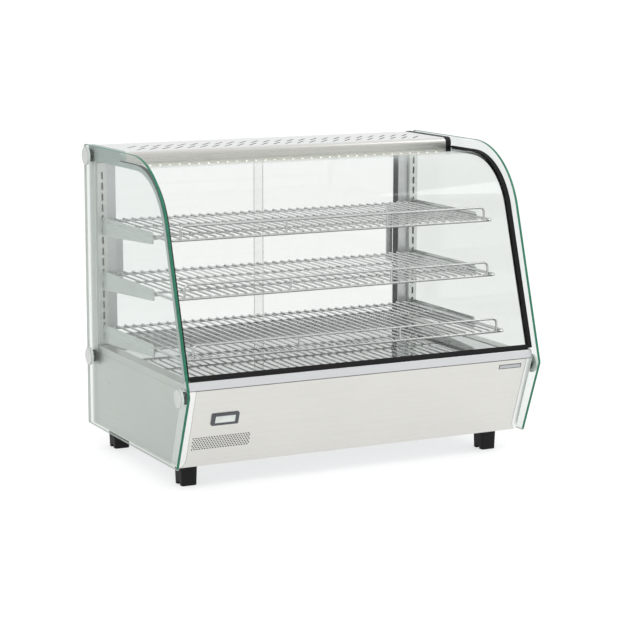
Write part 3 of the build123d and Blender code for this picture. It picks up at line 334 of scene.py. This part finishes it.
def display_window(name):
    """Grey liquid-crystal window under a glossy cover."""
    mat, tree, out = shader(name)
    cells = noise(tree, 1200.0, 1.0)
    cloud = noise(tree, 40.0, 2.0)
    base = blend_colour(tree, spread(tree, cloud, 0.0, 1.0), (0.56, 0.60, 0.57), (0.66, 0.70, 0.67))
    values = {
        "Base Color": base,
        "Roughness": 0.25,
        "Coat Weight": 1.0,
        "Coat Roughness": 0.04,
        "Normal": bump(tree, cells, 0.00002, 0.2),
    }
    principled(tree, out, values)
    return mat


# ---------------------------------------------------------------- plastics and rubber
def moulded(name, colour, roughness, grain=900.0, depth=0.00006, metallic=0.0, coat=0.0, painted_glass_sheen=None):
    """Moulded plastic or rubber: fine surface grain, uneven sheen and slight fading.

    The colour given for the glass side is a painted reflection: it goes on the faces that look out
    towards a side glass, standing in for the glass's reflection over the dark part.
    """
    mat, tree, out = shader(name)
    skin = noise(tree, grain, 3.0, 0.6)
    wear = noise(tree, 14.0, 4.0, 0.6)
    pale = tuple(min(1.0, c * 1.25 + 0.004) for c in colour)
    base = blend_colour(tree, spread(tree, wear, 0.0, 0.8), colour, pale)
    # Painted reflection: faces that look out towards a side glass take the pale colour.
    if painted_glass_sheen:
        base = blend_colour(tree, outward_side(tree), base, painted_glass_sheen)
    values = {
        "Base Color": base,
        "Specular IOR Level": 0.22 if metallic == 0.0 and coat == 0.0 else 0.5,
        "Metallic": metallic,
        "Roughness": spread(tree, wear, roughness - 0.06, roughness + 0.08),
        "Coat Weight": coat,
        "Coat Roughness": 0.08,
        "Normal": bump(tree, skin, depth, 0.5),
    }
    principled(tree, out, values)
    return mat


def glowing(name, colour, strength):
    """Lit face of a light chip, slightly uneven."""
    mat, tree, out = shader(name)
    uneven = spread(tree, noise(tree, 500.0, 1.0), strength * 0.8, strength * 1.2)
    values = {
        "Base Color": (*colour, 1.0),
        "Roughness": 0.3,
        "Emission Color": (*colour, 1.0),
        "Emission Strength": uneven,
    }
    principled(tree, out, values)
    return mat


# ---------------------------------------------------------------- the materials
PANEL_TONE = (0.665, 0.660, 0.630)
EMERALD = (0.010, 0.165, 0.092)
DARK_RIM = (0.010, 0.012, 0.011)
GREY_RIM = (0.30, 0.34, 0.32)
# Painted reflection colours for dark parts seen through a side glass; the left top trim is painted with
# it all over.
TRIM_GLASS_SHEEN = (0.31, 0.36, 0.345)
SEAL_GLASS_SHEEN = (0.40, 0.45, 0.45)
ACROSS_X = ("X", "LESS_THAN", 0.96)
ACROSS_Y = ("Y", "LESS_THAN", 0.96)
ENDS_X = ("X", "GREATER_THAN", 0.5)

panel_steel = brushed_steel("panel_steel", PANEL_TONE, 0.30, "X", 0.02, 0.12)
# Front panel steel with painted shade in its vent holes.
vent_shaded_steel = brushed_steel("vent_shaded_steel", PANEL_TONE, 0.30, "X", 0.02, 0.12, vents=True)
strip_steel = brushed_steel("strip_steel", (0.66, 0.668, 0.675), 0.30, "X", 0.02, 0.12)
side_steel = brushed_steel("side_steel", (0.60, 0.612, 0.582), 0.30, "Y")
# The front panel's return flange down the side: a lighter copy of the panel steel, a painted highlight
# for the bright reflection it shows.
lit_return_steel = brushed_steel("lit_return_steel", (0.80, 0.81, 0.79), 0.30, "Z")
# The top cover's upward faces carry a painted highlight, lighter than its front face.
lit_top_cover_steel = brushed_steel("lit_top_cover_steel", (0.56, 0.55, 0.52), 0.28, "X", upper=(0.80, 0.80, 0.79))
tray_steel = brushed_steel("tray_steel", (0.72, 0.72, 0.70), 0.30, "X")
post_steel = brushed_steel("post_steel", (0.595, 0.61, 0.585), 0.34, "Z")
upright_steel = brushed_steel("upright_steel", (0.70, 0.715, 0.69), 0.34, "Z")
satin_steel = brushed_steel("satin_steel", (0.58, 0.60, 0.585), 0.24, "Y", 0.07)
zinc_sheet = brushed_steel("zinc_sheet", (0.62, 0.64, 0.66), 0.42, "X", 0.12)
anodised = brushed_steel("anodised_aluminium", (0.62, 0.63, 0.64), 0.34, "X", 0.03)
mirror_plate = polished_steel("mirror_plate", (0.70, 0.71, 0.70), 0.03)
screw_steel = polished_steel("screw_steel", (0.66, 0.66, 0.65), 0.24)
cap_steel = turned_steel("cap_steel", (0.56, 0.58, 0.56), 0.22)
chrome_wire = chromed_wire("chrome_wire", (0.80, 0.81, 0.81))
element_tube = heated_tube("element_tube")
cheek_glass = sheet_glass("cheek_glass", (0.908, 0.922, 0.915), ACROSS_X, 0.6, EMERALD, 1.0)
bent_glass = sheet_glass("bent_glass", (0.955, 0.957, 0.952), ENDS_X, 0.7, DARK_RIM, 1.0)
pane_glass = sheet_glass("pane_glass", (0.968, 0.974, 0.970), ACROSS_Y, 0.7, GREY_RIM, 0.45)
lcd_window = display_window("lcd_window")
seal_rubber = moulded("seal_rubber", (0.004, 0.004, 0.004), 0.70, painted_glass_sheen=SEAL_GLASS_SHEEN)
foot_rubber = moulded("foot_rubber", (0.004, 0.004, 0.005), 0.60, 600.0, 0.0001)
black_plastic = moulded("black_plastic", (0.010, 0.010, 0.011), 0.42)
trim_plastic = moulded("trim_plastic", (0.007, 0.008, 0.008), 0.50, painted_glass_sheen=TRIM_GLASS_SHEEN)
# Left top trim: painted reflection colour all over.
trim_glass_sheen = moulded("trim_glass_sheen", TRIM_GLASS_SHEEN, 0.50)
bezel_plastic = moulded("bezel_plastic", (0.035, 0.040, 0.050), 0.30, coat=0.4)
rocker_plastic = moulded("rocker_plastic", (0.030, 0.030, 0.032), 0.25, coat=0.5)
strip_white = moulded("strip_white", (0.74, 0.72, 0.66), 0.40)
housing_plastic = moulded("housing_plastic", (0.70, 0.70, 0.67), 0.45)
screw_black = moulded("screw_black", (0.02, 0.02, 0.02), 0.30, metallic=0.8)
plate_metal = moulded("plate_metal", (0.42, 0.43, 0.44), 0.34, metallic=0.9)
# Black sheet material for painted shade behind the vent holes and inside the top housing.
shade_black = moulded("shade_black", (0.010, 0.010, 0.011), 0.90, 2500.0, 0.0004)
print_black = moulded("print_black", (0.015, 0.015, 0.017), 0.55)
light_chip = glowing("light_chip", (1.0, 0.97, 0.90), 1.6)

NODE_MATERIALS = {
    "base_pan": zinc_sheet,
    "base_side_left": side_steel,
    "base_side_right": side_steel,
    "base_rear_panel": panel_steel,
    "front_frame": lit_return_steel,
    "front_panel": vent_shaded_steel,
    "front_top_strip": strip_steel,
    "deck_frame": side_steel,
    "deck_plate": mirror_plate,
    "heat_shield": zinc_sheet,
    "heating_elements": element_tube,
    "foot_screws": screw_black,
    "side_glass_left": cheek_glass,
    "side_glass_right": cheek_glass,
    "glass_caps_left": cap_steel,
    "glass_caps_right": cap_steel,
    "cap_washers": seal_rubber,
    "front_glass": bent_glass,
    "glass_gasket_left": seal_rubber,
    "glass_gasket_right": seal_rubber,
    "glass_gasket_bottom": seal_rubber,
    "top_cover": lit_top_cover_steel,
    "lamp_tray": tray_steel,
    "led_strip": strip_white,
    "led_driver": housing_plastic,
    "top_trim_left": trim_glass_sheen,
    "top_trim_right": trim_plastic,
    "corner_post_left": post_steel,
    "corner_post_right": post_steel,
    "shelf_upright_left": upright_steel,
    "shelf_upright_right": upright_steel,
    "door_track_bottom": anodised,
    "door_track_top": anodised,
    "door_jambs": anodised,
    "display_bezel": bezel_plastic,
    "display_lens": lcd_window,
    "rating_plate": plate_metal,
    "thermostat_body": housing_plastic,
    "thermostat_knob": black_plastic,
    "switch_housings": black_plastic,
    "power_rocker": rocker_plastic,
    "light_rocker": rocker_plastic,
    "cable_gland": black_plastic,
    "door_left_glass": pane_glass,
    "door_right_glass": pane_glass,
    "door_left_fittings": anodised,
    "door_right_fittings": anodised,
}
for end in ("front", "rear"):
    for side in SIDES:
        NODE_MATERIALS[f"foot_{end}_{side}"] = foot_rubber
for level in LEVELS:
    NODE_MATERIALS[f"shelf_{level}"] = chrome_wire
    for side in SIDES:
        NODE_MATERIALS[f"bracket_{level}_{side}"] = satin_steel


def dress(name, material):
    """Give a CAD node its material."""
    obj = nodes[name]
    if obj.material_slots:
        obj.material_slots[0].link = "OBJECT"
        obj.material_slots[0].material = material
    else:
        obj.data.materials.append(material)


for name, material in NODE_MATERIALS.items():
    dress(name, material)


# ---------------------------------------------------------------- added pieces
def slab(mesh, centre, size, bevel, frame_matrix=None):
    """Add a block with softened edges to a mesh, in the world or in a flat frame."""
    place_at = Matrix.Translation(centre) @ Matrix.Diagonal((*size, 1.0))
    if frame_matrix is not None:
        place_at = frame_matrix @ place_at
    made = bmesh.ops.create_cube(mesh, size=1.0, matrix=place_at)
    edges = list({edge for vert in made["verts"] for edge in vert.link_edges})
    bmesh.ops.bevel(mesh, geom=edges, offset=bevel, segments=2, affect="EDGES", profile=0.6)


def turned(mesh, centre, profile, sides, frame_matrix):
    """Add a lathed shape about the frame's third axis; profile is a list of (radius, height)."""
    rings = []
    for radius, height in profile:
        ring = []
        for step in range(sides):
            angle = 2 * math.pi * step / sides
            spot = Vector((math.cos(angle) * radius, math.sin(angle) * radius, height)) + Vector(centre)
            ring.append(mesh.verts.new(frame_matrix @ spot))
        rings.append(ring)
    for low, high in zip(rings, rings[1:]):
        for step in range(sides):
            after = (step + 1) % sides
            mesh.faces.new((low[step], low[after], high[after], high[step]))
    mesh.faces.new(rings[-1])


def piece(name, mesh, material, body, smooth=True):
    """Finish a mesh as an object that rides on a body."""
    bmesh.ops.recalc_face_normals(mesh, faces=mesh.faces)
    data = bpy.data.meshes.new(name)
    mesh.to_mesh(data)
    mesh.free()
    data.materials.append(material)
    for face in data.polygons:
        face.use_smooth = smooth
    obj = bpy.data.objects.new(name, data)
    bpy.context.scene.collection.objects.link(obj)
    if smooth:
        sharp = obj.modifiers.new("weighted", "WEIGHTED_NORMAL")
        sharp.keep_sharp = True
    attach(obj, body)
    return obj


def middle(name, axis):
    """Middle of a CAD node along one axis."""
    return sum(span(name, axis)) / 2


def vent_shade_sheet():
    """Black sheet behind the vent holes: painted shade that shows through them."""
    size = (0.132, 0.036, 0.0016)
    behind_face = -0.0032
    mesh = bmesh.new()
    slab(mesh, (VENT_X, VENT_UP, behind_face), size, 0.0004, FRONT)
    piece("vent_shade_sheet", mesh, shade_black, CABINET)


def plate_border():
    """Printed border of the blank plate."""
    width, height, line = 0.056, 0.010, 0.0011
    ink = 0.00012
    plate_x, plate_up, plate_face = middle("rating_plate", 0), 0.1682, 0.00068
    mesh = bmesh.new()
    for side in (-1, 1):
        rail_up = plate_up + side * (height - line) / 2
        slab(mesh, (plate_x, rail_up, plate_face), (width, line, ink), ink / 4, FRONT)
        stile_x = plate_x + side * (width - line) / 2
        slab(mesh, (stile_x, plate_up, plate_face), (line, height, ink), ink / 4, FRONT)
    piece("plate_border", mesh, print_black, CABINET)


def light_lenses():
    """A small glowing lens on each light chip."""
    count, pitch, size = 33, 0.023, (0.0044, 0.0008, 0.0025)
    front = span("led_strip", 1)[0] - 0.0003
    height = middle("led_strip", 2)
    mesh = bmesh.new()
    for step in range(count):
        slab(mesh, ((step - count // 2) * pitch, front, height), size, 0.0003)
    piece("light_lenses", mesh, light_chip, CABINET)


def housing_shade_mats():
    """Dark mats on the lamp tray, inside the top housing, cut out round the lamp supply: painted shade
    for the inside of the housing.
    """
    thickness, bevel = 0.003, 0.0008
    height = span("lamp_tray", 2)[0] + 0.0033
    front, rear = 0.104, 0.274
    short_rear = span("led_driver", 1)[0] - 0.007
    mesh = bmesh.new()
    for left, right, back in ((-0.384, 0.160, rear), (0.1625, 0.3325, short_rear), (0.336, 0.386, rear)):
        centre = ((left + right) / 2, (front + back) / 2, height)
        slab(mesh, centre, (right - left, back - front, thickness), bevel)
    piece("housing_shade_mats", mesh, shade_black, CABINET)


def rear_screws():
    """Button-head screws with hexagon recesses on the rear panel and the rear of the top cover."""
    head = [(0.0034, 0.0), (0.0034, 0.0006), (0.0031, 0.0013), (0.0023, 0.0018), (0.0015, 0.0019)]
    recess = [(0.00148, 0.0018), (0.0013, 0.0009)]
    panel_side, panel_rows = 0.372, (0.066, 0.222)
    cover_side, cover_row = 0.36, 0.664
    cover_face = span("top_cover", 1)[1] - REAR_Y
    mesh = bmesh.new()
    for step in (-1, 0, 1):
        for row in panel_rows:
            turned(mesh, (step * panel_side, row, 0.0), head + recess, 18, REAR)
        turned(mesh, (step * cover_side, cover_row, cover_face), head + recess, 18, REAR)
    piece("rear_screws", mesh, screw_steel, CABINET)


def knob_marks():
    """Plain tick marks round the thermostat knob."""
    count, sweep, ring_r = 11, 270, 0.0225
    mark = (0.0009, 0.0035, 0.0002)
    knob = Matrix.Translation((-middle("thermostat_knob", 0), middle("thermostat_knob", 2), 0.0))
    mesh = bmesh.new()
    for step in range(count):
        turn = math.radians(sweep * step / (count - 1) - sweep / 2)
        ring = knob @ Matrix.Rotation(turn, 4, "Z")
        slab(mesh, (0.0, ring_r, 0.0001), mark, 0.00005, REAR @ ring)
    piece("knob_marks", mesh, print_black, CABINET)


def weld_nuggets():
    """Small weld beads where the grid wires cross the side-to-side frame wires of each shelf."""
    bead = [(0.0027, 0.0), (0.0024, 0.0012), (0.0014, 0.0020), (0.0004, 0.0022)]
    count, pitch, bead_lift = 37, 0.02058, 0.0058
    fence_r, frame_r, fence_offset = 0.0025, 0.003, 0.001
    for level in LEVELS:
        low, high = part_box("shelf_" + level)
        rows = (low[1] + fence_r + fence_offset, high[1] - frame_r)
        mesh = bmesh.new()
        for step in range(count):
            for depth in rows:
                spot = Matrix.Translation(((step - count // 2) * pitch, depth, low[2] + bead_lift))
                turned(mesh, (0.0, 0.0, 0.0), bead, 10, spot)
        piece("weld_nuggets_" + level, mesh, chrome_wire, "shelf_" + level + "_body")


vent_shade_sheet()
plate_border()
light_lenses()
housing_shade_mats()
rear_screws()
knob_marks()
weld_nuggets()


# ---------------------------------------------------------------- studio
FLOOR_SIZE = 160
FLOOR_GLOW = 0.62
LAMP_AIM = Vector((0, 0, 0.3))
LAMPS = (("key_lamp", (-2.4, -2.6, 3.4), 60, 2.4), ("fill_lamp", (2.8, -1.2, 2.6), 28, 2.0))
CAMERA_PLACE = (-2.0714, -4.0882, 1.1081)
CAMERA_YAW = 26.9375
CAMERA_PITCH = 9.8255
CAMERA_ROLL = -0.0808
CAMERA_LENS = 120.04


def floor_and_sky():
    """Pale floor and white surroundings."""
    bpy.ops.mesh.primitive_plane_add(size=FLOOR_SIZE)
    floor = bpy.context.object
    floor.name = "studio_floor"
    mat, tree, out = shader("studio_floor")
    tone = spread(tree, noise(tree, 0.8, 2.0), 0.0, 1.0)
    base = blend_colour(tree, tone, (0.38, 0.38, 0.38), (0.40, 0.40, 0.40))
    values = {
        "Base Color": base,
        "Roughness": 0.8,
        "Emission Color": (1, 1, 1, 1),
        "Emission Strength": FLOOR_GLOW,
    }
    principled(tree, out, values)
    floor.data.materials.append(mat)

    world = bpy.data.worlds.new("studio")
    bpy.context.scene.world = world
    world.use_nodes = True
    sky = world.node_tree
    coords = sky.nodes.new("ShaderNodeTexCoord")
    split = sky.nodes.new("ShaderNodeSeparateXYZ")
    ramp = sky.nodes.new("ShaderNodeValToRGB")
    sky.links.new(coords.outputs["Generated"], split.inputs[0])
    sky.links.new(split.outputs["Z"], ramp.inputs["Fac"])
    sky.links.new(ramp.outputs["Color"], sky.nodes["Background"].inputs["Color"])
    ramp.color_ramp.elements[0].color = (0.94, 0.95, 0.96, 1)
    ramp.color_ramp.elements[1].color = (1.0, 1.0, 1.0, 1)
    sky.nodes["Background"].inputs["Strength"].default_value = 1.0


def lamps():
    """Two soft lamps; each is a name, a place, a power and a size."""
    for name, spot, power, size in LAMPS:
        lamp = bpy.data.lights.new(name, "AREA")
        lamp.energy = power
        lamp.size = size
        holder = bpy.data.objects.new(name, lamp)
        bpy.context.scene.collection.objects.link(holder)
        holder.location = spot
        aim = LAMP_AIM - Vector(spot)
        holder.rotation_euler = aim.to_track_quat("-Z", "Y").to_euler()


def camera():
    """Camera at the photograph's viewing angle."""
    yaw, pitch, roll = (math.radians(angle) for angle in (CAMERA_YAW, CAMERA_PITCH, CAMERA_ROLL))
    level = math.cos(pitch)
    ahead = Vector((math.sin(yaw) * level, math.cos(yaw) * level, -math.sin(pitch)))
    right = Vector((math.cos(yaw), -math.sin(yaw), 0))
    basis = Matrix((right, right.cross(ahead), -ahead)).transposed()
    data = bpy.data.cameras.new("camera")
    data.lens = CAMERA_LENS
    data.sensor_width = 36.0
    data.clip_end = 200.0
    holder = bpy.data.objects.new("camera", data)
    bpy.context.scene.collection.objects.link(holder)
    aimed = (basis @ Matrix.Rotation(-roll, 3, "Z")).to_4x4()
    holder.matrix_world = Matrix.Translation(CAMERA_PLACE) @ aimed
    bpy.context.scene.camera = holder
    bpy.context.scene.view_settings.view_transform = "Standard"


floor_and_sky()
lamps()
camera()
